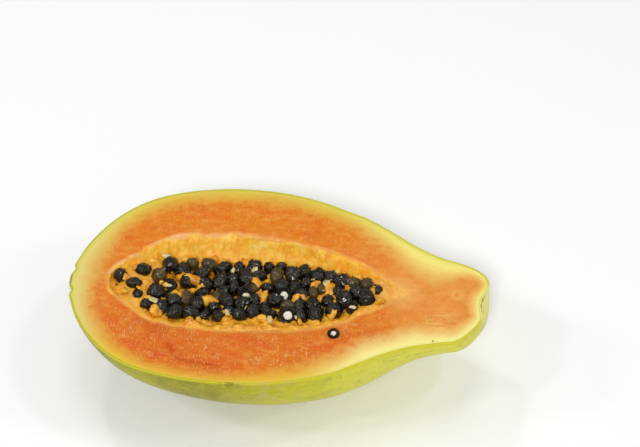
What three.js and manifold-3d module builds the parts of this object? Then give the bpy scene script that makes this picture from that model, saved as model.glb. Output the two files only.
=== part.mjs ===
// Half a ripe papaya, cut lengthwise, lying on its rounded back with the cut face up.
// Millimetres, +Z up. +X runs from the blossom end to the stem end, and Y across the fruit.
// The fruit half is one closed body: skin, cut face and seed hollow. The seeds and the pulp
// that holds them are a second body, which lies in the hollow.
import * as THREE from "three";
import { mergeVertices } from "three/addons/utils/BufferGeometryUtils.js";
import Module from "manifold-3d";

const wasm = await Module();
wasm.setup();

// Driving dimensions
const FRUIT_LENGTH = 172; // blossom end to the lip round the stem scar
const DEPTH_RATIO = 0.966; // depth below the cut against half the width
const CUT_HEIGHT = 47.3; // cut face above the surface that the fruit rests on
const BOW = 3.4; // how far the middle line of the fruit bends to +Y
const NECK_START = 112; // from here to the stem end the middle line bends over and back
const NECK_BEND = 1.1;
const BELLY_LEAN = 15; // how far the deepest part of the belly lies nearer to the stem end
const STEM_START = 158; // from here on the stem end is slanted, and longer on the +Y side
const STEM_SLANT = 0.17;
const HOLLOW_DEPTH = 16; // seed hollow below the cut face where it is widest
const BED_DEPTH = 5.4; // top of the pulp below the cut face there
const BED_TILT = 0.11; // slope of the pulp across the fruit, higher on the -Y side
const SEAT_GAP = 0.5; // between the pulp and the wall of the hollow
const SEED_RADIUS = 3.5; // a plump seed in its jelly is about 6.5 mm across

// Outline of the fruit as [distance along the axis, radius], from the blossom scar over the
// small button and the groove round it, to the dip of the stem scar
const FRUIT_PROFILE = [
  [0.4, 0], [0, 3], [0.9, 5.3], [0.3, 7.6], [1.4, 11], [4.6, 18.8], [11, 28.6], [19, 36.6],
  [29, 42.9], [42, 47.2], [57, 49.6], [72, 50.1], [88, 48.7], [104, 44.9], [119, 38.7],
  [131, 32.1], [142, 26.2], [152, 22.2], [160, 19.6], [166, 15.9], [170.2, 11.8],
  [FRUIT_LENGTH, 9.1], [171.5, 6.6], [170, 3.9], [169, 1.8], [168.7, 0],
];

// Mouth of the seed hollow as [distance along the axis, half width]
const HOLLOW_PROFILE = [
  [15.5, 0], [17, 5], [21, 9], [27, 14.2], [35, 19.6], [46, 23], [62, 24.3], [78, 23.8],
  [94, 21.8], [108, 18.2], [119, 13.6], [129, 7.4], [136, 2.6], [139.5, 0],
];
const HOLLOW_HALF_WIDTH = 24.3;

// Skin relief: five soft lobes, which deepen into folds round the blossom end
const LOBES = 5;
const LOBE_DEPTH = 0.009;
const FOLD_DEPTH = 0.05;
const FOLD_REACH = 13;

// Seeds, thrown one by one with a seeded draw, and kept where they lie clear of the others
const BED_START = 19.5; // ends of the pulp along the fruit
const BED_END = 134.5;
const SEED_THROWS = 6000;
const SEED_SPACING = 0.69; // nearest two seeds, against the sum of their radii
const SEED_THINNING = 0.35; // how much wider that is at the ends of the pulp
const SEED_CENTRE = 84; // where along the fruit they lie closest
const SEED_LIFT = 1.2; // middle of a seed above the pulp
const SEED_STRETCH = 1.1; // length of a seed against its mean thickness
const SEED_SIDES = 7;
const SEED_BANDS = 4;
const DRAW_SEED = 20;

// Mesh density
const STATIONS = 60; // along the fruit
const SKIN_STEPS = 20; // round the skin from rim to rim
const HOLLOW_STEPS = 10; // across the hollow
const BED_STATIONS = 24; // along the pulp
const BED_STEPS = 4; // across the pulp
const CUT_RINGS = [0, 0.03, 0.12, 0.3, 0.8, 1]; // share of the way from rim to mouth

const colour = (hex) => new THREE.Color(hex);
const SKIN_GREEN = colour(0x9ba42c);
const SEED_BLACK = colour(0x17150f);
const PULP_AMBER = colour(0xd18a1e);
const LINING_YELLOW = colour(0xeda92f);
// The flesh at each of the CUT_RINGS, from the green under the skin to the pale edge of the hollow
const FLESH = [0xb9c63c, 0xe2e07a, 0xf0d96c, 0xe68a35, 0xe0752a, 0xf0b668].map(colour);

const curveOf = (points) => new THREE.SplineCurve(points.map((p) => new THREE.Vector2(...p)));
const fruitCurve = curveOf(FRUIT_PROFILE);
const hollowCurve = curveOf(HOLLOW_PROFILE);

// Sideways place of the middle line at a distance x along the fruit: one soft arch, with its
// top a little towards the blossom end, and a small S in the neck.
function middleLine(x) {
  const share = THREE.MathUtils.clamp(x / FRUIT_LENGTH, 0, 1);
  const neck = THREE.MathUtils.clamp((x - NECK_START) / (FRUIT_LENGTH - NECK_START), 0, 1);
  return BOW * Math.sin(Math.PI * share ** 0.8) + NECK_BEND * Math.sin(2 * Math.PI * neck);
}

// A point of the skin. turn runs from 0 at the rim on the +Y side, under the fruit, to pi.
// Each cross section is nearly half a circle, which leans to the stem end as it gets deeper,
// and is pressed flat where it meets the table.
function skinPoint(share, turn) {
  const { x, y: radius } = fruitCurve.getPoint(share);
  const fold = x < FRUIT_LENGTH / 2 ? FOLD_DEPTH * Math.exp(-((radius / FOLD_REACH) ** 2)) : 0;
  const lobed = Math.max(radius, 0) * (1 + (LOBE_DEPTH + fold) * Math.sin(LOBES * turn));
  const across = lobed * Math.cos(turn);
  const depth = DEPTH_RATIO * lobed * Math.sin(turn);
  const lean = BELLY_LEAN * THREE.MathUtils.smoothstep(depth, 0, CUT_HEIGHT);
  const slant = STEM_SLANT * across * THREE.MathUtils.smoothstep(x, STEM_START, FRUIT_LENGTH);
  return new THREE.Vector3(
    x + lean + slant, middleLine(x) + across, Math.max(CUT_HEIGHT - depth, 0),
  );
}

// Depth of the hollow's floor under the middle of its mouth, for a half width there.
const hollowDepth = (halfWidth) => HOLLOW_DEPTH * (halfWidth / HOLLOW_HALF_WIDTH) ** 0.9;

// A point of the hollow's wall. Each cross section is a parabola hung from the mouth.
function hollowPoint(share, turn) {
  const { x, y } = hollowCurve.getPoint(share);
  const halfWidth = Math.max(y, 0);
  const z = CUT_HEIGHT - hollowDepth(halfWidth) * Math.sin(turn) ** 2;
  return new THREE.Vector3(x, middleLine(x) + halfWidth * Math.cos(turn), z);
}

// A point of the cut face, on the side that turn gives: ring 0 is the rim and 1 the mouth.
function cutPoint(share, ring, turn) {
  return skinPoint(share, turn).lerp(hollowPoint(share, turn), ring).setZ(CUT_HEIGHT);
}

// Half width of the mouth at a distance x: the curve's range is halved until it meets x.
function mouthHalfWidth(x) {
  let low = 0;
  let high = 1;
  for (let i = 0; i < 24; i++) {
    const middle = (low + high) / 2;
    if (hollowCurve.getPoint(middle).x < x) low = middle;
    else high = middle;
  }
  return Math.max(hollowCurve.getPoint(low).y, 0);
}

// Cross section of the pulp at a distance x. Its top is level along the fruit and slopes a
// little across it; near and far are where that line meets the parabola of the hollow,
// measured from the middle line. room is the way from a point to the hollow's wall.
function bedSection(x) {
  const halfWidth = mouthHalfWidth(x);
  const depth = hollowDepth(halfWidth);
  const level = (BED_DEPTH * depth) / HOLLOW_DEPTH;
  const bend = depth / halfWidth ** 2;
  const root = Math.sqrt(BED_TILT ** 2 + 4 * bend * (depth - level));
  return {
    near: (-BED_TILT - root) / (2 * bend),
    far: (-BED_TILT + root) / (2 * bend),
    top: (y) => CUT_HEIGHT - level - BED_TILT * y,
    floor: (y) => CUT_HEIGHT - depth + bend * y * y,
    room: (y, z) => (z - CUT_HEIGHT + depth - bend * y * y) / Math.hypot(1, 2 * bend * y),
  };
}

// A point of the pulp's surface. turn runs from 0 at the +Y edge, under the pulp to the -Y
// edge at 0.5, and back over its top. Both ends of the pulp run out to a point.
function bedPoint(share, turn) {
  const x = BED_START + (BED_END - BED_START) * share;
  const section = bedSection(x);
  const near = section.near + 1.6 * SEAT_GAP;
  const far = section.far - 1.6 * SEAT_GAP;
  const across = Math.abs(1 - 2 * turn);
  const end = share === 0 || share === 1;
  const y = end ? (near + far) / 2 : near + (far - near) * across;
  const top = section.top(y);
  const floor = Math.min(section.floor(y) + SEAT_GAP, top - 0.1);
  const z = end ? (top + floor) / 2 : turn > 0 && turn < 0.5 ? floor : top;
  return new THREE.Vector3(x, middleLine(x) + y, z);
}

// Adds a grid of points, rows by columns, with their colours, as two triangles for each
// cell. A triangle that a pole shrinks to a line is left out.
function addGrid(out, rows, columns, pointAt, colourAt) {
  const points = [];
  const first = out.positions.length / 3;
  for (let i = 0; i <= rows; i++) {
    for (let j = 0; j <= columns; j++) {
      points.push(pointAt(i, j));
      out.positions.push(...points.at(-1).toArray());
      out.colours.push(...colourAt(i, j).toArray());
    }
  }
  const addTriangle = (a, b, c) => {
    const [p, q, r] = [points[a], points[b], points[c]];
    const shrunk = Math.min(p.distanceTo(q), q.distanceTo(r), r.distanceTo(p)) < 1e-3;
    if (!shrunk) out.faces.push(first + a, first + b, first + c);
  };
  for (let i = 0; i < rows; i++) {
    for (let j = 0; j < columns; j++) {
      const corner = i * (columns + 1) + j;
      const next = corner + columns + 1;
      addTriangle(corner, next, corner + 1);
      addTriangle(next, next + 1, corner + 1);
    }
  }
}

// The grids as a geometry. Each grid is smooth in itself, with an edge where two meet.
function geometryOf(out) {
  const geometry = new THREE.BufferGeometry();
  geometry.setAttribute("position", new THREE.Float32BufferAttribute(out.positions, 3));
  geometry.setAttribute("color", new THREE.Float32BufferAttribute(out.colours, 3));
  geometry.setIndex(out.faces);
  geometry.computeVertexNormals();
  return geometry;
}

function fruitGeometry() {
  const out = { positions: [], colours: [], faces: [] };
  addGrid(
    out, STATIONS, SKIN_STEPS,
    (i, j) => skinPoint(i / STATIONS, (Math.PI * j) / SKIN_STEPS),
    () => SKIN_GREEN,
  );
  const last = CUT_RINGS.length - 1;
  addGrid(
    out, STATIONS, last,
    (i, j) => cutPoint(i / STATIONS, CUT_RINGS[last - j], 0),
    (i, j) => FLESH[last - j],
  );
  addGrid(
    out, STATIONS, last,
    (i, j) => cutPoint(i / STATIONS, CUT_RINGS[j], Math.PI),
    (i, j) => FLESH[j],
  );
  addGrid(
    out, STATIONS, HOLLOW_STEPS,
    (i, j) => hollowPoint(i / STATIONS, Math.PI * (1 - j / HOLLOW_STEPS)),
    () => LINING_YELLOW,
  );
  return geometryOf(out);
}

function bedGeometry() {
  const out = { positions: [], colours: [], faces: [] };
  addGrid(
    out, BED_STATIONS, 2 * BED_STEPS,
    (i, j) => bedPoint(i / BED_STATIONS, (j % (2 * BED_STEPS)) / (2 * BED_STEPS)),
    () => PULP_AMBER,
  );
  return geometryOf(out);
}

// A run of numbers from 0 to 1 that is the same each time: a linear congruential draw.
function drawFrom(seed) {
  let state = seed;
  return () => {
    state = (state * 1664525 + 1013904223) % 2 ** 32;
    return state / 2 ** 32;
  };
}

// The seeds as [place, radius, turn]: each throw is kept if it lies clear of the hollow's wall
// and of the seeds that are there already. They lie closest round the middle of the hollow.
function throwSeeds() {
  const draw = drawFrom(DRAW_SEED);
  const kept = [];
  for (let i = 0; i < SEED_THROWS; i++) {
    const x = BED_START + (BED_END - BED_START) * draw();
    const across = draw();
    const radius = SEED_RADIUS * (0.84 + 0.24 * draw());
    const turn = new THREE.Euler(...[draw(), draw(), draw()].map((d) => Math.PI * d));
    const section = bedSection(x);
    const y = section.near + (section.far - section.near) * across;
    const place = new THREE.Vector3(x, middleLine(x) + y, section.top(y) + SEED_LIFT);
    const thinning = 1 + SEED_THINNING * ((x - SEED_CENTRE) / (BED_END - SEED_CENTRE)) ** 2;
    const inside = section.room(y, place.z) > SEED_STRETCH * radius + SEAT_GAP;
    const clear = kept.every(
      (other) => place.distanceTo(other.place) > SEED_SPACING * thinning * (radius + other.radius),
    );
    if (inside && clear) kept.push({ place, radius, turn });
  }
  return kept;
}

// One seed: a ball of few faces, a little longer than wide.
function seedGeometry({ place, radius, turn }) {
  return new THREE.SphereGeometry(radius, SEED_SIDES, SEED_BANDS)
    .scale(SEED_STRETCH, 0.95, 0.95)
    .applyMatrix4(new THREE.Matrix4().makeRotationFromEuler(turn))
    .translate(...place.toArray());
}

function solidOf(geometry) {
  const bare = new THREE.BufferGeometry();
  bare.setAttribute("position", geometry.getAttribute("position"));
  bare.setIndex(geometry.index);
  const merged = mergeVertices(bare, 1e-4);
  return new wasm.Manifold(
    new wasm.Mesh({
      numProp: 3,
      vertProperties: merged.attributes.position.array,
      triVerts: new Uint32Array(merged.index.array),
    }),
  );
}

// The pulp with the seeds joined to it. The union keeps each triangle's first solid as a run,
// which gives its colour: amber for the pulp, and black for the seeds.
function seedMassGeometry(seeds) {
  const pulp = solidOf(bedGeometry());
  const joined = wasm.Manifold.union([pulp, ...seeds.map((seed) => solidOf(seedGeometry(seed)))]);
  const mesh = joined.getMesh();
  const shared = new THREE.BufferGeometry();
  shared.setAttribute("position", new THREE.BufferAttribute(mesh.vertProperties, 3));
  shared.setIndex(new THREE.BufferAttribute(mesh.triVerts, 1));
  const geometry = shared.toNonIndexed();
  const colours = [];
  for (let run = 0; run < mesh.numRun; run++) {
    const isPulp = mesh.runOriginalID[run] === pulp.originalID();
    const { r, g, b } = isPulp ? PULP_AMBER : SEED_BLACK;
    for (let k = mesh.runIndex[run]; k < mesh.runIndex[run + 1]; k++) colours.push(r, g, b);
  }
  geometry.setAttribute("color", new THREE.Float32BufferAttribute(colours, 3));
  geometry.computeVertexNormals();
  return geometry;
}

function addPiece(group, name, geometry, roughness) {
  const material = new THREE.MeshStandardMaterial({ vertexColors: true, roughness, metalness: 0 });
  const mesh = new THREE.Mesh(geometry, material);
  mesh.name = name;
  group.add(mesh);
}

const papaya = new THREE.Group();
addPiece(papaya, "papaya_half", fruitGeometry(), 0.45);
addPiece(papaya, "seed_mass", seedMassGeometry(throwSeeds()), 0.3);

// The origin is under the middle of the whole, on the surface that it rests on.
const bounds = new THREE.Box3().setFromObject(papaya);
const middle = bounds.getCenter(new THREE.Vector3());
papaya.position.set(-middle.x, -middle.y, -bounds.min.z);

export default papaya;
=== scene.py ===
"""Half a ripe papaya, cut lengthwise, on its rounded back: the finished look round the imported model.

Shapes are worked out in millimetres in the fruit's own frame, with x from the blossom end to
the stem end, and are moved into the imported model's frame in metres when a mesh is made.
"""

import math

import bpy
import bmesh
import numpy as np
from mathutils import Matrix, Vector


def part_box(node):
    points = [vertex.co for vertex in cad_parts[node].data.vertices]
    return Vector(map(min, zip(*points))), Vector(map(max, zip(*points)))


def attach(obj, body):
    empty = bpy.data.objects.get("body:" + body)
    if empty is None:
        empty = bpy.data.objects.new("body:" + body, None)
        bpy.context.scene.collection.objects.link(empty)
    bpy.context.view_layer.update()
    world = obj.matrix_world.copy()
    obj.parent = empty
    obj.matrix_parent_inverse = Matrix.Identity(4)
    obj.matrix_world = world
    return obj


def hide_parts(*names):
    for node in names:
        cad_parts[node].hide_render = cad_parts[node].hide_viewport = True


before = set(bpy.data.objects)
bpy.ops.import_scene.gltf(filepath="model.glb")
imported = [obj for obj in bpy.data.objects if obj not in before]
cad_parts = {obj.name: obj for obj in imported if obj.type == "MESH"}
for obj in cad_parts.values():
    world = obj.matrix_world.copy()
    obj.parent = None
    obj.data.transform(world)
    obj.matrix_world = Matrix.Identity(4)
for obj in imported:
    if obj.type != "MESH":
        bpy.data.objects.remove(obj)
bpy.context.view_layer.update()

MM = 0.001
fruit_low, fruit_high = (np.array(corner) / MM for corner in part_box("papaya_half"))

# Driving dimensions of the fruit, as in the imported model. Only the outline's two ends differ: the
# blossom end has a button between two notches, and the stem end a shallower dip.
FRUIT_LENGTH = 172.0
CUT_HEIGHT = fruit_high[2]
DEPTH_RATIO = 0.966
BOW = 3.4
NECK_START = 112.0
NECK_BEND = 1.1
BELLY_LEAN = 15.0
STEM_START = 158.0
STEM_SLANT = 0.17
HOLLOW_DEPTH = 16.0
HOLLOW_HALF_WIDTH = 24.3
BED_DEPTH = 5.4
BED_TILT = 0.11
SEAT_GAP = 0.5

FRUIT_PROFILE = np.array([
    (-0.5, 0), (-0.3, 3), (0.9, 5.3), (0.3, 7.6), (1.4, 11), (4.6, 18.8), (11, 28.6), (19, 36.6),
    (29, 42.9), (42, 47.2), (57, 49.6), (72, 50.1), (88, 48.7), (104, 44.9), (119, 38.7),
    (131, 32.1), (142, 26.2), (152, 22.4), (160, 20.3), (166, 17.3), (170.4, 12.9),
    (FRUIT_LENGTH, 9.1), (171.8, 6.6), (170.9, 3.9), (170.3, 1.8), (170.1, 0),
], float)
HOLLOW_PROFILE = np.array([
    (15.5, 0), (17, 5), (21, 9), (27, 14.2), (35, 19.6), (46, 23), (62, 24.3), (78, 23.8),
    (94, 21.8), (108, 18.2), (119, 13.6), (129, 7.4), (136, 2.6), (139.5, 0),
], float)

# Soft lobes round the fruit, and the same number of deeper folds within reach of the blossom tip:
# their depths are shares of the radius
LOBES = 5
LOBE_DEPTH = 0.009
FOLD_DEPTH = 0.05
FOLD_REACH = 13.0

# Seeds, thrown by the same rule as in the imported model. The smallest seed, the range of sizes and
# the stretch are shares of the radius.
BED_START = 19.5
BED_END = 134.5
SEED_RADIUS = 3.5
SMALLEST_SEED = 0.84
SEED_SIZE_RANGE = 0.24
SEED_THROWS = 6000
SEED_SPACING = 0.69
SEED_THINNING = 0.35
SEED_CENTRE = 84.0
SEED_LIFT = 1.2
SEED_STRETCH = 1.1
DRAW_SEED = 20

# Flat of a cut seed: the direction that it faces, between up and the near side, and how high it
# and the middle of the kernel lie, as shares of the radius
CUT_FACING = np.array([0.05, -0.56, 0.827])
CUT_LEVEL = 0.50
KERNEL_LEVEL = 0.42

# Relief of the cut face and of the lining
MOUTH_WANDER = 0.8
MOUTH_ROUNDING = 0.75
CUT_WAVE = 0.20
WALL_LUMPS = 0.55
WALL_RIDGES = 0.13

# Skin, and the scar, which starts at this share of the outline
SKIN_THICKNESS = 0.75
RIM_ROUNDING = 0.22
SCAR_START = 0.875
SCAR_THICKNESS = 0.45

# Pulp: it laps over the mouth's near edge, ends past the bed, runs up to the near edge in a strip,
# and rises at the blossom tip and at the stem tip
PULP_LAP = 1.8
PULP_END = 2.0
PULP_STRIP = 3.2
PULP_BELOW_MOUTH = 0.7
BLOSSOM_TIP_RISE = 1.7
STEM_TIP_RISE = 1.5

# Mesh density: rows from pole to pole and columns for a seed and a kernel, and columns, or
# stations along the fruit, for the rest
STATIONS = 360
SKIN_COLUMNS = 112
UNDER_COLUMNS = 16
CUT_COLUMNS = 50
HOLLOW_COLUMNS = 84
PULP_COLUMNS = 96
PULP_UNDER_COLUMNS = 22
SEED_GRID = (28, 40)
KERNEL_GRID = (12, 20)
POINTS_AT_ONCE = 4000

# Points of a mesh that lie closer than this, in metres, are one point
MERGE_DISTANCE = 2e-6

# Pale band under the skin on the cut face: place along the fruit, width of the palest part, and
# the way from the skin at which the flesh is fully orange
FAR_BAND = np.array([
    (0, 3.5, 16), (10, 2.5, 13), (22, 1.8, 9.5), (43, 0.8, 8.5), (64, 0.5, 8.5), (96, 1, 9),
    (121, 2.2, 10), (137, 3.5, 13), (150, 4.5, 15), (158, 3.2, 10), (163, 1.6, 6.5),
    (168, 0.9, 4.2), (172, 0.7, 3.6)])
NEAR_BAND = np.array([
    (0, 3.5, 16), (10, 1.6, 10.5), (24, 0.7, 7), (60, 0.6, 5.2), (80, 0.8, 6.5), (96, 1.3, 9),
    (112, 2, 11), (125, 2.6, 12), (145, 2.4, 11), (156, 2, 8), (163, 1.2, 5.5),
    (168, 0.9, 4.2), (172, 0.7, 3.6)])

# A tear on the cut face, from end to end
TEAR = np.array([(44.6, -28.5), (48.3, -34.6), (55.5, -36.6), (66, -37.6)])
TEAR_WIDTH = 1.1
TEAR_DEPTH = 0.8

# Round marks, each by x, y and radius: on the cut face, and then on the skin under its near rim
VESSEL = (160.1, 3.0, 4.2)
VESSEL_CORE = (160.1, 3.0, 1.8)
PALE_STREAK = (153.9, -11.1, 9.0)
# SHADE is a painted shadow on the cut face, where the seeds spill over the near lip
SHADE = (36.4, -19.3, 12.0)
HALO = (136.5, 2.4, 12.0)
HALO_COLOUR = (240, 186, 108)
BROWN_DOTS = [(150.8, -20.7, 0.7), (18.6, 0.8, 1.3), (22.5, -2.5, 1.1)]
HAZE = (86.0, -47.0, 22.0)
RIM_SCAR = (71.2, -49.0, 7.0)

# Things among the seeds, by x and y: cut seeds with the width of their pale kernel against its
# length, a stray cut seed with its radius, and lumps of pulp and pale scraps with half their length
KERNELS = [(89.0, 0.6, 1.0), (89.8, -10.8, 1.0), (71.5, 1.4, 0.6), (113.6, -5.4, 0.5),
           (40.3, 4.4, 0.45), (110.4, -20.0, 0.9)]
STRAY_SEED = (110.4, -20.0, 2.35)
STRAY_RISE = 0.4
KERNEL_CLEARANCE = 4.5
PULP_LUMPS = [
    (48.8, 5.5, 5.2), (38.8, 1.7, 2.6), (58.5, -5.6, 4.4), (76.1, 5.4, 4.0), (80.5, -1.6, 2.8),
    (95.5, -2.0, 4.4), (107.6, 3.9, 3.6), (114.0, 0.8, 3.0), (109.7, -9.2, 3.0),
    (54.4, 1.9, 3.6), (45.0, -4.0, 4.2), (36.7, -13.2, 3.2), (62.9, -0.2, 3.0),
    (101.5, 6.6, 2.8), (80.9, -13.6, 3.0), (65.4, -12.0, 2.6)]
PALE_SCRAPS = [
    (37.6, 17.0, 1.9), (36.1, -8.6, 2.4), (62.3, 13.3, 1.5), (66.3, 11.5, 1.5),
    (75.1, 12.1, 1.9), (66.3, -12.3, 1.7), (94.8, -13.6, 0.9), (100.1, 8.6, 1.4),
    (84.4, -15.8, 1.6), (105.4, 5.8, 2.4)]

# Studio: the floor and the lamps in metres and watts, the camera in degrees and millimetres
FLOOR_HALF = 3.0
WORLD_STRENGTH = 0.38
LAMP_TARGET = (0.0, 0.0, 0.03)
LAMPS = {
    "softbox_back": {"place": (0.0, 0.4, 1.95), "size": 0.6, "power": 4.2},
    "softbox_left": {"place": (-1.5, -0.1, 1.2), "size": 0.26, "power": 2.7},
    "softbox_right": {"place": (1.5, -0.1, 1.2), "size": 0.26, "power": 2.8},
    "softbox_front": {"place": (-0.1, -1.2, 1.5), "size": 0.32, "power": 12.6},
    "glint_back": {"place": (-0.35, 0.5, 1.0), "size": 0.08, "power": 1.0},
    "glint_left": {"place": (-0.7, -0.25, 1.0), "size": 0.10, "power": 1.0},
    "glint_right": {"place": (0.6, 0.1, 1.1), "size": 0.10, "power": 1.0},
}
CAMERA_AZIMUTH = 3.99
CAMERA_ELEVATION = 51.42
CAMERA_DISTANCE = 683.7
CAMERA_LENS = 90.0
LOOK_AT = (14.23, 33.3, CUT_HEIGHT)


# Curves and noise

def along(points, share):
    """Points on a smooth curve through the given ones: each span is the cubic whose end slopes
    are half the chord between the neighbours, and the ends repeat their own point."""
    last = len(points) - 1
    place = np.asarray(share, float) * last
    span = np.clip(np.floor(place).astype(int), 0, last)
    w = (place - span)[..., None]
    before = points[np.maximum(span - 1, 0)]
    start = points[span]
    end = points[np.minimum(span + 1, last)]
    after = points[np.minimum(span + 2, last)]
    leave = (end - before) / 2
    arrive = (after - start) / 2
    return ((2 * start - 2 * end + leave + arrive) * w**3
            + (3 * end - 3 * start - 2 * leave - arrive) * w**2 + leave * w + start)


def even_shares(points, count):
    """Shares of a curve that lie evenly along its length: the running length is inverted."""
    dense = np.linspace(0, 1, 6000)
    steps = np.hypot(*np.diff(along(points, dense), axis=0).T)
    length = np.concatenate([[0], np.cumsum(steps)])
    return np.interp(np.linspace(0, length[-1], count), length, dense)


def smooth(value, low, high):
    """0 below low, 1 above high, and the cubic 3t^2 - 2t^3 between them."""
    t = np.clip((value - low) / (high - low), 0, 1)
    return t * t * (3 - 2 * t)


def lattice(i, j, k, seed):
    """A repeatable number from -1 to 1 for each whole-number point: its bits are mixed by
    multiplying and shifting."""
    mixed = (i * 73856093) ^ (j * 19349663) ^ (k * 83492791) ^ (seed * 2654435761)
    mixed = mixed & 0xFFFFFFFF
    mixed = ((mixed ^ (mixed >> 15)) * 2246822519) & 0xFFFFFFFF
    mixed = ((mixed ^ (mixed >> 13)) * 3266489917) & 0xFFFFFFFF
    return ((mixed ^ (mixed >> 16)) & 0xFFFFFF) / float(0x7FFFFF) - 1


def noise(points, cell, seed):
    """Smooth noise from -1 to 1: the lattice values at the eight corners of a cell of that
    size, mixed by the cubic of the place in the cell. cell may differ in x, y and z."""
    scaled = points / np.asarray(cell, float)
    base = np.floor(scaled).astype(np.int64)
    t = scaled - base
    t = t * t * (3 - 2 * t)
    total = np.zeros(points.shape[:-1])
    for corner in np.ndindex(2, 2, 2):
        share = np.ones(points.shape[:-1])
        for axis in range(3):
            share = share * (t[..., axis] if corner[axis] else 1 - t[..., axis])
        i, j, k = (base[..., axis] + corner[axis] for axis in range(3))
        total += share * lattice(i, j, k, seed)
    return total


def rough(points, cell, seed, layers=3):
    """Layers of noise, each with half the cell and half the height of the one before."""
    cell = np.asarray(cell, float)
    return sum(noise(points, cell / 2**n, seed + n) / 2**n for n in range(layers))


def outward(grid):
    """Unit normals of a grid from pole to pole: the cross product of its two directions'
    slopes, and straight out along x at both poles."""
    normal = np.cross(np.gradient(grid, axis=0), np.gradient(grid, axis=1))
    normal = normal / np.maximum(np.linalg.norm(normal, axis=-1, keepdims=True), 1e-9)
    normal[0] = (-1, 0, 0)
    normal[-1] = (1, 0, 0)
    return normal


def turned(vectors, angles):
    """Rows of vectors turned about z, then y, then x, by their own three angles."""
    result = vectors.copy()
    for axis in (2, 1, 0):
        cos = np.cos(angles[:, axis])[:, None]
        sin = np.sin(angles[:, axis])[:, None]
        a = (axis + 1) % 3
        b = (axis + 2) % 3
        first = result[..., a] * cos - result[..., b] * sin
        second = result[..., a] * sin + result[..., b] * cos
        result[..., a] = first
        result[..., b] = second
    return result


def ring_faces(rows, columns):
    """Quads between neighbouring rows of a grid whose columns close on themselves."""
    i, j = np.meshgrid(np.arange(rows - 1), np.arange(columns), indexing="ij")
    a = i * columns + j
    b = i * columns + (j + 1) % columns
    return np.stack([a, a + columns, b + columns, b], -1).reshape(-1, 4)


def copies(faces, count, size):
    """Faces of one shape repeated for each of a number of copies with so many points."""
    return (faces[None] + np.arange(count)[:, None, None] * size).reshape(-1, 4)


def balls(count, rows, columns, step):
    """A number of balls whose rows run from pole to pole along x: their directions, the same
    moved on by a step from ball to ball so that each meets other noise, and their faces."""
    polar = np.linspace(0, math.pi, rows + 1)[:, None]
    around = np.arange(columns)[None] * 2 * math.pi / columns
    directions = np.stack([np.cos(polar) + 0 * around, np.sin(polar) * np.cos(around),
                           np.sin(polar) * np.sin(around)], -1).reshape(-1, 3)
    each = np.repeat(directions[None], count, axis=0)
    own = each + np.arange(count)[:, None, None] * step
    return each, own, copies(ring_faces(rows + 1, columns), count, len(directions))


# Surfaces of the fruit

def middle_line(x):
    """Sideways place of the fruit's middle: half a sine wave over its length, with its top a
    little towards the blossom end, and one small whole sine wave over the neck."""
    share = np.clip(x / FRUIT_LENGTH, 0, 1)
    neck = np.clip((x - NECK_START) / (FRUIT_LENGTH - NECK_START), 0, 1)
    return BOW * np.sin(math.pi * share**0.8) + NECK_BEND * np.sin(2 * math.pi * neck)


def skin_points(share, turn):
    """Skin at a share of the outline and a turn from the +Y rim under the fruit to the -Y rim:
    a half circle with soft lobes, which leans to the stem end with depth, slants at the stem
    end, and is pressed flat at the table."""
    x, radius = np.moveaxis(along(FRUIT_PROFILE, share), -1, 0)
    radius = np.maximum(radius, 0)
    fold = np.where(x < FRUIT_LENGTH / 2, FOLD_DEPTH * np.exp(-((radius / FOLD_REACH) ** 2)), 0)
    lobed = radius * (1 + (LOBE_DEPTH + fold) * np.sin(LOBES * turn))
    across = lobed * np.cos(turn)
    depth = DEPTH_RATIO * lobed * np.sin(turn)
    lean = BELLY_LEAN * smooth(depth, 0, CUT_HEIGHT)
    slant = STEM_SLANT * across * smooth(x, STEM_START, FRUIT_LENGTH)
    z = np.maximum(CUT_HEIGHT - depth, 0)
    return np.stack([x + lean + slant, middle_line(x) + across, z], -1)


def hollow_depth(half_width):
    """Depth of the hollow's floor below the cut, which grows nearly as the mouth's half width."""
    return HOLLOW_DEPTH * (half_width / HOLLOW_HALF_WIDTH) ** 0.9


def hollow_points(share, turn):
    """Wall of the hollow: in each section a parabola that hangs from the mouth's two edges."""
    x, half_width = np.moveaxis(along(HOLLOW_PROFILE, share), -1, 0)
    half_width = np.maximum(half_width, 0)
    z = CUT_HEIGHT - hollow_depth(half_width) * np.sin(turn) ** 2
    return np.stack([x, middle_line(x) + half_width * np.cos(turn), z], -1)


def mouth_half_width(x):
    """Half width of the mouth at x: the curve's range is halved until it meets x."""
    low = np.zeros_like(x)
    high = np.ones_like(x)
    for _ in range(24):
        middle = (low + high) / 2
        short = along(HOLLOW_PROFILE, middle)[..., 0] < x
        low = np.where(short, middle, low)
        high = np.where(short, high, middle)
    return np.maximum(along(HOLLOW_PROFILE, low)[..., 1], 0)


class BedSection:
    """Cross sections of the pulp at places x: a line that slopes across the fruit and meets the
    hollow's parabola at near and far, measured from the middle line."""

    def __init__(self, x):
        self.half_width = mouth_half_width(x)
        self.depth = hollow_depth(self.half_width)
        self.level = BED_DEPTH * self.depth / HOLLOW_DEPTH
        self.bend = self.depth / self.half_width**2
        root = np.sqrt(BED_TILT**2 + 4 * self.bend * (self.depth - self.level))
        self.near = (-BED_TILT - root) / (2 * self.bend)
        self.far = (-BED_TILT + root) / (2 * self.bend)

    def top(self, y):
        """Height of the sloping line."""
        return CUT_HEIGHT - self.level - BED_TILT * y

    def floor(self, y):
        """Height of the hollow's wall."""
        return CUT_HEIGHT - self.depth + self.bend * y * y

    def room(self, y, z):
        """Way from a point to the hollow's wall: its height over the wall against the slope."""
        return (z - self.floor(y)) / np.hypot(1, 2 * self.bend * y)


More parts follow.
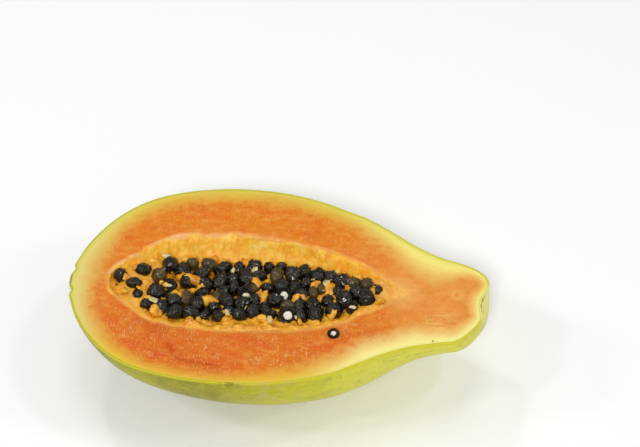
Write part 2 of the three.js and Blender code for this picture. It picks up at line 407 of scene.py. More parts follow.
rim_shares = even_shares(FRUIT_PROFILE, STATIONS + 1)
mouth_shares = even_shares(HOLLOW_PROFILE, STATIONS + 1)
outline = skin_points(np.tile(rim_shares[:, None], (1, 2)), np.array([[0, math.pi]]))
own_middle_y = (outline[..., 1].min() + outline[..., 1].max()) / 2
TO_FRAME = np.array([fruit_low[0], (fruit_low[1] + fruit_high[1]) / 2 - own_middle_y, 0])


# Meshes

def make_piece(name, points, faces, material, attributes=None):
    """One piece that rides on the root: points in millimetres of the fruit's own frame, faces
    as whole numbers, and named values for each point. Points that meet at a pole are merged."""
    mesh = bpy.data.meshes.new(name)
    mesh.from_pydata(((points.reshape(-1, 3) + TO_FRAME) * MM).tolist(), [], faces.tolist())
    for key, values in (attributes or {}).items():
        layer = mesh.attributes.new(key, "FLOAT", "POINT")
        layer.data.foreach_set("value", np.asarray(values, np.float32).ravel())
    work = bmesh.new()
    work.from_mesh(mesh)
    bmesh.ops.remove_doubles(work, verts=work.verts, dist=MERGE_DISTANCE)
    bmesh.ops.dissolve_degenerate(work, edges=work.edges, dist=MERGE_DISTANCE / 20)
    work.to_mesh(mesh)
    work.free()
    mesh.polygons.foreach_set("use_smooth", np.ones(len(mesh.polygons), bool))
    mesh.materials.append(material)
    piece = bpy.data.objects.new(name, mesh)
    bpy.context.scene.collection.objects.link(piece)
    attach(piece, "root")
    return piece


def nearest_gap(points, line):
    """Distance of each point to the nearest point of a line, in the level plane, in batches."""
    gaps = [np.sqrt(((batch[:, None, :2] - line[None, :, :2]) ** 2).sum(-1).min(1))
            for batch in np.array_split(points, max(1, len(points) // POINTS_AT_ONCE))]
    return np.concatenate(gaps)


# Materials

def srgb(red, green, blue):
    """A colour given as 0 to 255 on screen, as the light that the shader works with."""
    def light(value):
        value = value / 255
        return value / 12.92 if value <= 0.04045 else ((value + 0.055) / 1.055) ** 2.4
    return (light(red), light(green), light(blue), 1.0)


def both_ways(operation):
    """Two methods for a Math node's operation: with the value first, and with it last."""
    def first(self, other):
        return self.calc(operation, self, other)

    def last(self, other):
        return self.calc(operation, other, self)
    return first, last


class Wire:
    """A value in a material. Arithmetic on wires and numbers adds Math nodes."""

    def __init__(self, paint, socket):
        self.paint = paint
        self.socket = socket

    def calc(self, operation, *values):
        return self.paint.node("ShaderNodeMath", {"operation": operation}, dict(enumerate(values)))

    __add__, __radd__ = both_ways("ADD")
    __sub__, __rsub__ = both_ways("SUBTRACT")
    __mul__, __rmul__ = both_ways("MULTIPLY")
    __truediv__, __rtruediv__ = both_ways("DIVIDE")
    __pow__, __rpow__ = both_ways("POWER")

    def larger(self, other):
        return self.calc("MAXIMUM", self, other)

    def between(self, low, high):
        """0 where the value is at low, 1 at high, and smooth between them."""
        return self.paint.node(
            "ShaderNodeMapRange", {"interpolation_type": "SMOOTHSTEP"},
            {"Value": self, "From Min": low, "From Max": high})

    def evenly(self, low, high):
        """0 where the value is at low, 1 at high, and in a straight line between them."""
        return self.paint.node(
            "ShaderNodeMapRange", {}, {"Value": self, "From Min": low, "From Max": high})


class Paint:
    """A procedural material on the Principled shader."""

    def __init__(self, name, **constants):
        self.material = bpy.data.materials.new(name)
        self.material.use_nodes = True
        self.tree = self.material.node_tree
        self.shader = next(n for n in self.tree.nodes if n.type == "BSDF_PRINCIPLED")
        for key, value in constants.items():
            self.shader.inputs[key.replace("_", " ")].default_value = value

    def node(self, kind, settings, sockets, output=0):
        """Adds a node: its settings first, then the values or wires of its sockets."""
        node = self.tree.nodes.new(kind)
        for key, value in settings.items():
            if key == "stops":
                self.set_stops(node.color_ramp, value)
            else:
                setattr(node, key, value)
        for key, value in sockets.items():
            self.plug(node.inputs[key], value)
        return Wire(self, node.outputs[output])

    def set_stops(self, ramp, stops):
        while len(ramp.elements) < len(stops):
            ramp.elements.new(0.5)
        for element, (place, value) in zip(ramp.elements, stops):
            element.position = place
            element.color = value

    def plug(self, socket, value):
        if isinstance(value, Wire):
            self.tree.links.new(value.socket, socket)
        else:
            socket.default_value = value

    def finish(self, **sockets):
        """Joins wires to the shader's own sockets."""
        for key, value in sockets.items():
            self.plug(self.shader.inputs[key.replace("_", " ")], value)
        return self.material

    def value(self, name):
        return self.node("ShaderNodeAttribute", {"attribute_name": name}, {}, "Fac")

    def place(self):
        return self.node("ShaderNodeTexCoord", {}, {}, "Object")

    def axis(self, name):
        """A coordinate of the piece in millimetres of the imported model's frame."""
        return self.node("ShaderNodeSeparateXYZ", {}, {0: self.place()}, name) / MM

    def stretched(self, cell, turn=(0, 0, 0)):
        """Object coordinates counted in cells of the given size in millimetres."""
        scale = [1 / (MM * side) for side in cell]
        return self.node("ShaderNodeMapping", {}, {
            "Vector": self.place(), "Rotation": turn, "Scale": scale})

    def cloud(self, cell, detail=3.0, roughness=0.55, distortion=0.0, turn=(0, 0, 0)):
        """Noise whose cells have the given size in millimetres, from 0 to 1."""
        cell = (cell,) * 3 if np.isscalar(cell) else cell
        return self.node("ShaderNodeTexNoise", {}, {
            "Vector": self.stretched(cell, turn), "Scale": 1.0, "Detail": detail,
            "Roughness": roughness, "Distortion": distortion})

    def cells(self, cell, feature="F1"):
        """Distances in Voronoi cells of the given size in millimetres."""
        return self.node("ShaderNodeTexVoronoi", {"feature": feature}, {
            "Vector": self.stretched((cell,) * 3), "Scale": 1.0}, "Distance")

    def ramp(self, factor, *stops):
        """Colours on screen at places from 0 to 1 of the factor, and mixed between them."""
        stops = [(place, srgb(*colour)) for place, colour in stops]
        return self.node("ShaderNodeValToRGB", {"stops": stops}, {0: factor}, "Color")

    def mix(self, factor, first, second):
        return self.node("ShaderNodeMix", {"data_type": "RGBA"}, {0: factor, 6: first, 7: second},
                         2)

    def layers(self, colour, *coats):
        """Coats over a colour, one on top of another: how much of each shows, and its colour
        on screen."""
        for shown, coat in coats:
            colour = self.mix(shown, colour, srgb(*coat))
        return colour

    def bump(self, height, depth):
        """Bump of the given depth in millimetres for a height from 0 to 1."""
        return self.node("ShaderNodeBump", {}, {
            "Height": height, "Distance": depth * MM, "Strength": 1.0})


def spot(paint, x, y, radius):
    """1 at a place seen from above, given in the fruit's own millimetres, and 0 past radius."""
    dx = (paint.axis("X") - (x + TO_FRAME[0])) / radius
    dy = (paint.axis("Y") - (y + TO_FRAME[1])) / radius
    return 1 - ((dx * dx + dy * dy) ** 0.5).between(0.0, 1.0)


def flesh_material():
    """Cut flesh and the lining of the hollow: colours follow the way from the skin and from the
    mouth, with clouds of riper flesh, fibres, cells and small pale marks of juice, whose colour
    is a painted glint."""
    paint = Paint("papaya_flesh", Subsurface_Weight=0.10, Subsurface_Scale=0.002,
                  Subsurface_Radius=(1.0, 0.4, 0.12), Specular_IOR_Level=0.20)
    wall = paint.value("wall")
    x = paint.axis("X")
    near = 1 - paint.axis("Y").between(-30.0, 6.0)
    neck = x.between(18.0 + near * 16.0, 62.0 + near * 10.0)
    blossom = 1 - x.between(-86.0, -62.0)

    clouds = paint.cloud(13.0)
    ripe = paint.value("ripe")
    ripe = ripe + (clouds - 0.5) * 0.45 * ripe.between(0.05, 0.7)
    band = paint.mix(near, srgb(221, 200, 80), srgb(226, 188, 58))
    pale = paint.mix(near, srgb(244, 229, 124), srgb(247, 236, 148))
    band = paint.mix(x.between(18.0 - near * 12.0, 62.0 - near * 20.0), band, pale)
    band = paint.layers(band, (blossom, (224, 206, 118)))
    deep = paint.layers(
        paint.mix(near, srgb(224, 126, 10), srgb(216, 108, 4)),
        (neck * 0.9, (230, 150, 62)),
        (blossom * (0.8 - near * 0.7), (219, 142, 60)))
    green = (1 - ripe.between(0.0, 0.20)) * (0.5 + blossom * 0.3) * (1 - neck * near * 0.7)

    red = paint.cloud((17.0, 9.0, 17.0), turn=(0, 0, 0.35)).between(0.50, 0.68)
    red = red * ripe.between(0.75, 1.1) * (0.30 + near * 0.38) * (1 - neck * 0.8)
    full = ripe.between(0.35, 0.9)
    rich = full * (1 - neck * 0.45)
    blotch = paint.cloud((4.2, 2.6, 4.2), detail=4.0, roughness=0.6, turn=(0, 0, 0.3))
    patchy = paint.cloud((5.0, 3.0, 5.0)).between(0.38, 0.62)
    streaks = paint.cloud((9.0, 1.5, 3.0), turn=(0, 0, -0.2)).between(0.45, 0.62)
    fibre = paint.cloud((6.0, 0.9, 3.0), detail=4.0, roughness=0.6, distortion=0.8)
    grain = paint.cloud((0.75, 0.6, 0.75), roughness=0.7)
    wet = paint.cloud(8.0, detail=2.0).between(0.40, 0.60) * (0.35 + 0.65 * near) * full
    left = paint.cloud((0.40, 2.0, 1.0), detail=2.0, roughness=0.65, turn=(0, 0, 0.7))
    right = paint.cloud((0.40, 1.8, 1.0), detail=2.0, roughness=0.65, turn=(0, 0, -0.5))
    # Short pale marks of juice: their pale colour is a painted glint, and they also get bump and less
    # roughness
    juice_glints = left.between(0.60, 0.70).larger(right.between(0.61, 0.71))
    edge = 1 - (paint.value("mouth") + (clouds - 0.5) * 3.0).between(0.1, 2.4)
    broken = paint.cloud((6.0, 4.0, 4.0)).between(0.44, 0.58)
    flesh = paint.layers(
        paint.mix(ripe.evenly(0.30, 1.05), band, deep),
        (green, (208, 210, 74)),
        (red, (216, 80, 8)),
        (blotch.between(0.50, 0.66) * 0.40 * full, (238, 164, 74)),
        ((1 - blotch.between(0.34, 0.49)) * 0.50 * rich, (218, 94, 8)),
        (paint.value("bruise") * (0.32 + patchy * 0.42), (204, 76, 6)),
        # painted shadow where the seeds spill over the near lip
        (spot(paint, *SHADE) * (0.25 + patchy * 0.5), (186, 84, 12)),
        (spot(paint, *PALE_STREAK) * streaks * 0.8, (244, 200, 112)),
        (fibre.between(0.50, 0.78) * 0.28 * full, (236, 170, 86)),
        (grain.between(0.54, 0.70) * 0.36 * full, (238, 176, 88)),
        ((1 - grain.between(0.32, 0.47)) * 0.36 * rich, (222, 98, 4)),
        # painted glints: pale marks of juice, thickest in the wet patches
        (juice_glints * (0.12 * full + wet * 0.76), (255, 214, 146)),
        *[(spot(paint, *dot), (90, 46, 14)) for dot in BROWN_DOTS],
        (spot(paint, *VESSEL) * 0.75, (243, 188, 96)),
        (spot(paint, *VESSEL_CORE) * 0.9, (222, 122, 14)),
        (edge * 0.55, (240, 182, 96)),
        (edge * broken * (1 - near) * (1 - x.between(-50.0, 20.0)) * 0.45, (250, 214, 160)))

    threads = paint.cloud((2.2, 6.0, 5.0), distortion=0.7)
    lumps = paint.cloud(4.6, detail=5.0, roughness=0.6)
    milky = paint.cloud(1.3, roughness=0.65).between(0.58, 0.74)
    lining = paint.ramp(
        threads * 0.35 + lumps * 0.65,
        (0.34, (238, 146, 22)), (0.44, (246, 172, 40)), (0.53, (251, 190, 62)),
        (0.62, (254, 208, 98)), (0.74, (255, 228, 156)))
    lining = paint.layers(
        lining,
        (milky * 0.42, (255, 232, 170)),
        (paint.value("sunk") * 0.25, (238, 170, 54)))
    colour = paint.layers(
        paint.mix(wall, flesh, lining),
        (spot(paint, *HALO) * (0.55 + patchy * 0.25), HALO_COLOUR))

    relief = grain * 0.35 * full + fibre * 0.4 + wall * (threads * 0.1 + lumps * 1.6)
    relief = relief + juice_glints * wet * 0.4
    dullness = 0.40 - juice_glints * wet * 0.2 + (grain - 0.5) * 0.2 - wall * 0.10
    return paint.finish(
        Base_Color=colour, Roughness=dullness, Normal=paint.bump(relief, 0.28))


def skin_material():
    """Waxy skin: green with a yellow blush, pale at the cut, where a highlight is also painted,
    with dark specks, fine pores, dry scratches, a hazy brown patch at the near rim, and darker ends."""
    paint = Paint("papaya_skin", Coat_Weight=0.05, Coat_Roughness=0.25, Specular_IOR_Level=0.16)
    rim = paint.value("rim")
    blossom = paint.value("blossom")
    blush = paint.cloud(34.0, turn=(0.3, 0.2, 0.1))
    along_fruit = paint.axis("X").between(-80.0, 80.0)
    base = paint.ramp(
        blush * 0.50 + along_fruit * 0.46 + 0.09,
        (0.34, (124, 114, 14)), (0.47, (168, 164, 12)), (0.62, (194, 190, 18)),
        (0.80, (222, 216, 66)))
    streak = paint.cloud((15.0, 3.0, 3.0), detail=4.0, distortion=0.4)
    mottle = paint.cloud(2.6, detail=5.0, roughness=0.65)
    specks = (1 - paint.cells(2.7).between(0.07, 0.15)) * paint.cloud(18.0).between(0.42, 0.60)
    scuff = paint.cloud((9.0, 1.1, 1.1), distortion=1.2).between(0.66, 0.72)
    scuff = scuff * paint.cloud(14.0).between(0.5, 0.6)
    haze = spot(paint, *HAZE) * paint.cloud(5.0).between(0.44, 0.66)
    scar = spot(paint, *RIM_SCAR) * paint.cloud(2.2).between(0.40, 0.62)
    colour = paint.layers(
        base,
        (streak.between(0.5, 0.75) * 0.35, (132, 146, 16)),
        (mottle.between(0.50, 0.70) * 0.35, (214, 210, 70)),
        ((1 - mottle.between(0.32, 0.48)) * 0.24, (126, 134, 14)),
        # lighter yellow along the cut: the pale cut skin, and a painted highlight where the rounded
        # edge catches light
        ((1 - rim.between(0.1, 1.6)) * 0.8, (210, 200, 44)),
        (specks * 0.7, (88, 88, 24)),
        (scuff * 0.7, (196, 176, 112)),
        (haze * 0.55, (206, 176, 112)),
        (scar * (1 - rim.between(0.5, 5.0)) * 0.9, (98, 84, 28)),
        (paint.value("stem") * (0.7 + 0.3 * mottle), (240, 232, 140)),
        (blossom * 0.35, (186, 196, 96)),
        (blossom.between(0.86, 1.0) * 0.6, (122, 104, 48)))
    relief = paint.cells(0.9) * 0.4 + mottle * 0.5 + scuff * 0.5
    return paint.finish(
        Base_Color=colour, Roughness=0.40 + scuff * 0.25 + (mottle - 0.5) * 0.15,
        Normal=paint.bump(relief, 0.10))


def seed_material():
    """Black-brown wrinkled seeds, wet with jelly: convex grains and folds that break the lamps'
    reflections into small glints, pale flecks that are painted glints, and dull flats where a seed is
    cut."""
    paint = Paint("papaya_seeds", Specular_IOR_Level=0.22, Specular_Tint=(1.0, 0.88, 0.70, 1.0),
                  Coat_Roughness=0.05, Coat_IOR=1.5)
    tone = paint.value("tone")
    sliced = paint.value("sliced")
    folds = paint.cloud(1.3, detail=4.0, roughness=0.6, distortion=1.0)
    grains = paint.cells(1.05)
    glint_flecks = paint.cloud((0.5, 0.7, 0.7), roughness=0.7).between(0.57, 0.67)
    colour = paint.ramp(
        folds * 0.45 + tone * 0.55,
        (0.14, (3, 2, 1)), (0.36, (8, 6, 3)), (0.54, (28, 22, 10)), (0.80, (80, 62, 24)))
    # painted glints: pale flecks for the wet coat's micro-glints, more on the jelly seeds
    colour = paint.layers(colour, (glint_flecks * (0.15 + tone * 0.3), (150, 116, 50)))
    relief = folds * 0.8 - grains * 0.7
    return paint.finish(
        Base_Color=colour, Roughness=0.14 + folds * 0.10 + sliced * 0.5,
        Coat_Weight=0.62 * (1 - sliced), Normal=paint.bump(relief, 0.26))


def pulp_material():
    """Wet amber pulp like soft gel: lighter threads and deeper, browner folds."""
    paint = Paint("papaya_pulp", Subsurface_Weight=0.2, Subsurface_Scale=0.0015,
                  Subsurface_Radius=(1.0, 0.5, 0.12), Coat_Weight=0.6, Coat_Roughness=0.06,
                  Coat_IOR=1.38, Specular_IOR_Level=0.3)
    threads = paint.cloud((1.3, 3.0, 2.4), detail=4.0, roughness=0.6, distortion=1.6)
    folds = paint.cloud(3.2)
    milky = paint.cloud(1.2, roughness=0.65).between(0.60, 0.74)
    dots = 1 - paint.cells(4.0).between(0.05, 0.10)
    colour = paint.ramp(
        threads * 0.45 + folds * 0.55,
        (0.30, (168, 92, 4)), (0.42, (208, 132, 8)), (0.53, (236, 168, 30)),
        (0.68, (252, 206, 92)))
    colour = paint.layers(
        colour,
        (milky * 0.40, (255, 232, 164)),
        (dots * 0.9, (96, 26, 6)),
        (paint.value("rim") * 0.65, (242, 172, 60)),
        (spot(paint, *HALO) * 0.6, HALO_COLOUR),
        *[(spot(paint, *dot), (50, 22, 6)) for dot in BROWN_DOTS])
    return paint.finish(
        Base_Color=colour, Roughness=0.30 + threads * 0.15,
        Normal=paint.bump(threads * 0.8 + folds * 0.8, 0.24))


def pale_material():
    """Pale seeds and kernels: cream, a little browner in patches."""
    paint = Paint("papaya_pale_seeds", Coat_Weight=0.4, Coat_Roughness=0.15,
                  Specular_IOR_Level=0.3)
    stain = paint.cloud(1.4, detail=4.0)
    tone = paint.value("tone")
    clean = paint.ramp(
        stain, (0.30, (206, 198, 170)), (0.50, (228, 224, 206)), (0.70, (238, 236, 226)))
    yellow = paint.ramp(
        stain, (0.30, (176, 146, 76)), (0.50, (206, 184, 120)), (0.70, (230, 216, 166)))
    return paint.finish(
        Base_Color=paint.mix(tone, clean, yellow), Roughness=0.35 + (stain - 0.5) * 0.2,
        Normal=paint.bump(stain, 0.12))


def scar_material():
    """Scar in the dip of the stem: pale yellow-green like the skin round it, with an ochre
    crescent in patches and fine corky cracks."""
    paint = Paint("papaya_scar", Specular_IOR_Level=0.2)
    cork = paint.cloud(1.6, detail=4.0, roughness=0.6)
    cracks = paint.cells(1.6, feature="DISTANCE_TO_EDGE")
    colour = paint.ramp(
        cork, (0.34, (188, 164, 52)), (0.50, (214, 200, 92)), (0.64, (230, 222, 132)))
    colour = paint.layers(
        colour,
        (paint.value("crescent") * (0.5 + cork * 0.6), (176, 142, 34)),
        ((1 - cracks.between(0.01, 0.06)) * 0.35, (140, 112, 36)))
    return paint.finish(
        Base_Color=colour, Roughness=0.62 - cork * 0.1,
        Normal=paint.bump(cork + cracks * 0.5, 0.18))


def lining_material():
    """Threads of the lining: amber with paler lumps."""
    paint = Paint("papaya_lining", Specular_IOR_Level=0.15)
    lumps = paint.cloud(2.4)
    colour = paint.ramp(
        lumps, (0.30, (242, 168, 24)), (0.50, (250, 192, 56)), (0.72, (255, 216, 112)))
    return paint.finish(
        Base_Color=colour, Roughness=0.38 + lumps * 0.1, Normal=paint.bump(lumps, 0.1))


# Pieces

def skin_grid(columns):
    """Points of the skin at every station, in columns from the +Y rim to the -Y rim."""
    share = np.tile(rim_shares[:, None], (1, columns + 1))
    turn = np.tile(np.linspace(0, math.pi, columns + 1), (STATIONS + 1, 1))
    return skin_points(share, turn)


def under_skin(inward):
    """The skin's points moved inwards along its own normals, with both rims kept level."""
    points = skin_grid(UNDER_COLUMNS)
    moved = points - outward(points) * inward
    moved[:, (0, -1), 2] = CUT_HEIGHT
    moved[..., 2] = np.maximum(moved[..., 2], inward)
    return moved


def make_skin(material):
    """The skin as a closed thin shell: each section is a loop from the +Y rim under the fruit
    to the -Y rim and back along the inner side, with a small rounding at the cut."""
    outer = skin_grid(SKIN_COLUMNS)
    dents = rough(outer, 26.0, 3, 2) * 0.35 + rough(outer, 5.0, 9, 2) * 0.05
    keep = smooth(CUT_HEIGHT - outer[..., 2], 0, 8)[..., None]
    outer = outer + outward(outer) * dents[..., None] * keep
    outer[..., 2] = np.clip(outer[..., 2], 0, CUT_HEIGHT)
    inner = under_skin(SKIN_THICKNESS)
    down = np.array([0, 0, RIM_ROUNDING])
    share = RIM_ROUNDING / SKIN_THICKNESS

    def rounded(edge, inside):
        """The rounding at the cut, from the outer side to the inner side."""
        across = (inside - edge) * share
        return [edge - down, edge + across * 0.3 - down * 0.3, edge + across, inside]

    near_rim = rounded(outer[:, -1:], inner[:, -1:])
    far_rim = rounded(outer[:, :1], inner[:, :1])
    loop = np.concatenate(
        [far_rim[0], outer[:, 1:-1], *near_rim, inner[:, -2:0:-1], *far_rim[:0:-1]], axis=1)
    rows, columns = loop.shape[:2]
    points = loop.reshape(-1, 3)
    profile = along(FRUIT_PROFILE, rim_shares)
    station_x = np.repeat(profile[:, 0], columns)
    station_radius = np.repeat(profile[:, 1], columns)
    at_stem = station_x > FRUIT_LENGTH / 2
    attributes = {
        "rim": CUT_HEIGHT - points[:, 2],
        "stem": (1 - smooth(station_radius, 6.5, 11.0)) * at_stem,
        "blossom": (1 - smooth(station_radius, 1.0, 9.0)) * ~at_stem,
    }
    return make_piece("papaya_skin", points, ring_faces(rows, columns), material,
                      attributes)


def band_ripeness(points, edge):
    """Ripeness of the cut flesh: 0 at the skin, 0.35 where the palest part of the band ends, and
    1 where the flesh is fully orange."""
    far = smooth(points[:, 1] - middle_line(points[:, 0]), -7, 7)
    pale = 0
    full = 0
    for table, share in ((FAR_BAND, far), (NEAR_BAND, 1 - far)):
        pale = pale + share * np.interp(points[:, 0], table[:, 0], table[:, 1])
        full = full + share * np.interp(points[:, 0], table[:, 0], table[:, 2])
    inside = 0.35 + 0.65 * (edge - pale) / (full - pale)
    return np.clip(np.where(edge < pale, 0.35 * edge / pale, inside), 0, 2.5)


def wall_relief(points):
    """Height of the lining's soft lumps and shallow ridges."""
    ridges = rough(points, (2.2, 8.0, 8.0), 12, 3) * WALL_RIDGES
    return ridges + rough(points, 5.0, 18, 4) * WALL_LUMPS


def make_flesh(material):
    """Flesh and lining as one closed body: each section is a loop over the +Y cut face, through
    the hollow, over the -Y cut face, and back under the skin."""
    under = under_skin(SKIN_THICKNESS - 0.06)
    edge_far = under[:, 0]
    edge_near = under[:, -1]
    turn = np.tile(np.linspace(0, math.pi, HOLLOW_COLUMNS + 1), (STATIONS + 1, 1))
    share = np.tile(mouth_shares[:, None], (1, HOLLOW_COLUMNS + 1))
    hollow = hollow_points(share, turn)
    ring = np.linspace(0, 1, CUT_COLUMNS + 1)[None, :, None]
    far_cut = edge_far[:, None] + (hollow[:, :1] - edge_far[:, None]) * ring
    near_cut = edge_near[:, None] + (hollow[:, -1:] - edge_near[:, None]) * ring
    loop = np.concatenate(
        [far_cut, hollow[:, 1:-1], near_cut[:, ::-1], under[:, -2:0:-1]], axis=1)
    rows, columns = loop.shape[:2]
    points = loop.reshape(-1, 3)
    column = np.tile(np.arange(columns), rows)
    wall_start = CUT_COLUMNS + 1
    wall_end = wall_start + HOLLOW_COLUMNS - 1
    on_wall = (column >= wall_start) & (column < wall_end)
    on_cut = (column < wall_end + CUT_COLUMNS + 1) & ~on_wall

    edge = nearest_gap(points, np.concatenate([edge_far, edge_near]))
    mouth = nearest_gap(points, np.concatenate([hollow[:, 0], hollow[:, -1]]))
    below = CUT_HEIGHT - points[:, 2]
    down_wall = np.hypot(mouth, below)

    # The mouth's edge wanders to and fro
    side = np.sign(points[:, 1] - middle_line(points[:, 0]))
    level = points * (1, 1, 0)
    wander = rough(level, 7.0, 91, 3) * MOUTH_WANDER * np.exp(-down_wall / 2.5)
    points[:, 1] += np.where(on_cut | on_wall, side * wander, 0)

    # The cut face waves a little, is rounded at the mouth, and is torn along one line
    wave = rough(points, (13.0, 13.0, 30.0), 31, 3) * CUT_WAVE + rough(points, 1.5, 77, 2) * 0.05
    level = points * (1, 1, 0)
    lip = (MOUTH_ROUNDING + 0.45 * noise(level, 5.0, 14)) * np.exp(-down_wall / 1.5)
    tear_line = along(TEAR, np.linspace(0, 1, 40))
    tear_gap = nearest_gap(points, tear_line)
    tear = np.exp(-((tear_gap / TEAR_WIDTH) ** 2))
    scuffed = np.exp(-((tear_gap / 5.0) ** 2)) * rough(points, (2.6, 1.3, 4.0), 55, 3)
    drop = (wave + tear * TEAR_DEPTH + scuffed * 0.25) * smooth(edge, 0.2, 3.0) + lip
    points[:, 2] -= np.where(on_cut, drop, 0)

    # The wall has soft lumps and shallow ridges that run down it
    points[:, 2] += np.where(
        on_wall, wall_relief(points) * smooth(down_wall, 0.5, 4.0) - lip, 0)

    signed = np.where(on_wall, down_wall, -mouth) + rough(points, 2.8, 64, 3) * 1.1
    clear_of_end = smooth(edge, 3.0, 8.0)
    attributes = {
        "ripe": np.where(on_cut, band_ripeness(points, edge), 2.0 * on_wall),
        "mouth": np.where(on_cut, mouth, 0.0),
        "wall": np.where(on_cut | on_wall, smooth(signed, -1.1, 1.1) * clear_of_end, 0.0),
        "sunk": np.where(on_wall, smooth(below, 3.0, 8.5), 0.0),
        "bruise": np.where(on_cut, tear + 0.55 * np.exp(-((tear_gap / 7.0) ** 2)), 0.0),
    }
    return make_piece("papaya_flesh", points, ring_faces(rows, columns)[:, ::-1], material,
                      attributes)


def make_scar(material):
    """Corky scar as a closed lens that lines the dip of the stem: the skin's own surface there,
    raised by noise that fades to the edge, and sunk below the skin on its other side."""
    rows = 20
    columns = 40
    share = np.tile(np.linspace(SCAR_START, 1, rows + 1)[:, None], (1, columns + 1))
    turn = np.tile(np.linspace(0, math.pi, columns + 1), (rows + 1, 1))
    surface = skin_points(share, turn)
    normal = outward(surface)
    normal[0] = normal[1]
    inside = np.linspace(0, 1, rows + 1)[:, None]
    height = (0.22 + 0.16 * rough(surface, 2.2, 71, 3)) * inside**0.5 - 0.12
    top = surface + normal * height[..., None]
    bottom = surface - normal * SCAR_THICKNESS
    for layer in (top, bottom):
        layer[:, (0, -1), 2] = CUT_HEIGHT - 0.05
    loop = np.concatenate([top, bottom[:, ::-1]], axis=1)
    loop[0] = surface[0, np.r_[0:columns + 1, columns:-1:-1]] - (0.3, 0, 0)
    crescent = np.repeat(smooth(inside, 0.45, 0.7) - smooth(inside, 0.8, 1.0), loop.shape[1], 1)
    return make_piece("stem_scar", loop, ring_faces(rows + 1, loop.shape[1]), material,
                      {"crescent": crescent})


def draw_from(seed):
    """Numbers from 0 to 1 by a linear congruential rule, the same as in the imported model."""
    state = seed
    while True:
        state = (state * 1664525 + 1013904223) % 2**32
        yield state / 2**32


def throw_seeds():
    """Places, radii and turns of the seeds: each throw is kept if it lies clear of the wall and
    of the seeds that are there already."""
    source = draw_from(DRAW_SEED)
    draws = np.array([next(source) for _ in range(6 * SEED_THROWS)]).reshape(-1, 6)
    x = BED_START + (BED_END - BED_START) * draws[:, 0]
    section = BedSection(x)
    y = section.near + (section.far - section.near) * draws[:, 1]
    radius = SEED_RADIUS * (SMALLEST_SEED + SEED_SIZE_RANGE * draws[:, 2])
    place = np.stack([x, middle_line(x) + y, section.top(y) + SEED_LIFT], -1)
    inside = section.room(y, place[:, 2]) > SEED_STRETCH * radius + SEAT_GAP
    end_share = (x - SEED_CENTRE) / (BED_END - SEED_CENTRE)
    spacing = SEED_SPACING * (1 + SEED_THINNING * end_share**2)
    kept = []
    for i in np.nonzero(inside)[0]:
        gaps = np.linalg.norm(place[kept] - place[i], axis=1)
        if np.all(gaps > spacing[i] * (radius[i] + radius[kept])):
            kept.append(i)
    return place[kept], radius[kept], draws[kept, 3:] * math.pi


def nearest_seeds(seeds, places):
    """The seed nearest to each of some places, seen from above."""
    gaps = ((seeds[0][:, None, :2] - np.array(places)[None, :, :2]) ** 2).sum(-1)
    return gaps.argmin(0)


def with_stray(seeds):
    """The thrown seeds and the one that lies on the near side of the cut face."""
    place, radius, angles = seeds
    x, y, size = STRAY_SEED
    return (np.concatenate([place, [(x, y, CUT_HEIGHT + STRAY_RISE)]]), np.append(radius, size),
            np.concatenate([angles, [(0, 0, 0.3)]]))


def make_seeds(material, seeds, cut_seeds):
    """Each seed is a ball drawn out along one axis, with folds and warts: the size of noise on
    the ball's directions moves its surface out. Some are smaller, some smooth in jelly, some end
    in a short stalk, and the cut ones are flat on top."""
    place, radius, angles = seeds
    count = len(place)
    each, own, faces = balls(count, *SEED_GRID, 17.3)
    index = np.arange(count)
    tone = lattice(index, 0, 0, 4) * 0.5 + 0.5
    jelly_tone = 0.84
    jelly = smooth(tone, jelly_tone, 0.92)[:, None]
    crumpled = (lattice(index, index * 2, 0, 13) * 0.5 + 0.5)[:, None] ** 1.5
    whole = ~np.isin(index, cut_seeds)
    shrunk = smooth(lattice(index, 0, index * 4, 31), 0.1, 0.9) * whole
    lumps = noise(own, 0.9, 5) * 0.13
    warts = np.abs(noise(own + 0.2 * noise(own, 0.5, 2)[..., None], 0.42, 8))
    fine = np.abs(noise(own, 0.22, 21)) * 0.15
    has_stalk = (lattice(index, index, index, 6) > 0.45)[:, None]
    stalk = 0.45 * np.exp(-(1 - each[..., 0]) / 0.022) * has_stalk
    folds = (warts * (0.12 + 0.24 * crumpled) + fine) * (1 - 0.7 * jelly)
    reach = 0.96 + lumps + folds + stalk + 0.04 * jelly
    slim = 0.86 + 0.14 * lattice(index, index * 3, 0, 9)[:, None]
    shape = each * reach[..., None]
    shape[..., 0] *= SEED_STRETCH
    shape[..., 1] *= slim
    shape = turned(shape * (radius * (1 - 0.24 * shrunk))[:, None, None], angles)
    limit = np.where(whole, np.inf, CUT_LEVEL)[:, None] * radius[:, None]
    limit = limit + 0.5 * np.abs(noise(shape, 1.1, 3))
    over = np.maximum((shape * CUT_FACING).sum(-1) - limit, 0)
    shape -= over[..., None] * CUT_FACING
    shape += place[:, None]
    tone = np.where((tone > jelly_tone) & whole, tone, tone * 0.45)
    tones = np.repeat(tone[:, None], each.shape[1], 1)
    return make_piece("papaya_seeds", shape, faces, material,
                      {"tone": tones, "sliced": smooth(over, 0.0, 0.15)})


def make_kernels(material, seeds, cut_seeds):
    """Pale kernels in the cut seeds: flattened balls, a little rough, sunk in the flat tops."""
    place = seeds[0][cut_seeds]
    radius = seeds[1][cut_seeds]
    wide = np.array([kernel[2] for kernel in KERNELS])
    each, own, faces = balls(len(place), *KERNEL_GRID, 5.0)
    reach = 1 + 0.06 * rough(own, 0.6, 33, 3)
    half_length = 0.56 * radius
    scale = np.stack([half_length, half_length * wide, 0.26 * radius], -1)
    shape = each * reach[..., None] * scale[:, None]
    lengthways = np.array([1.0, 0, 0])
    sideways = np.cross(CUT_FACING, lengthways)
    shape = (shape[..., :1] * lengthways + shape[..., 1:2] * sideways
             + shape[..., 2:] * CUT_FACING)
    shape = shape + (place + KERNEL_LEVEL * radius[:, None] * CUT_FACING)[:, None]
    tones = np.repeat((1 - wide)[:, None], each.shape[1], 1)
    return make_piece("seed_kernels", shape, faces, material, {"tone": tones})


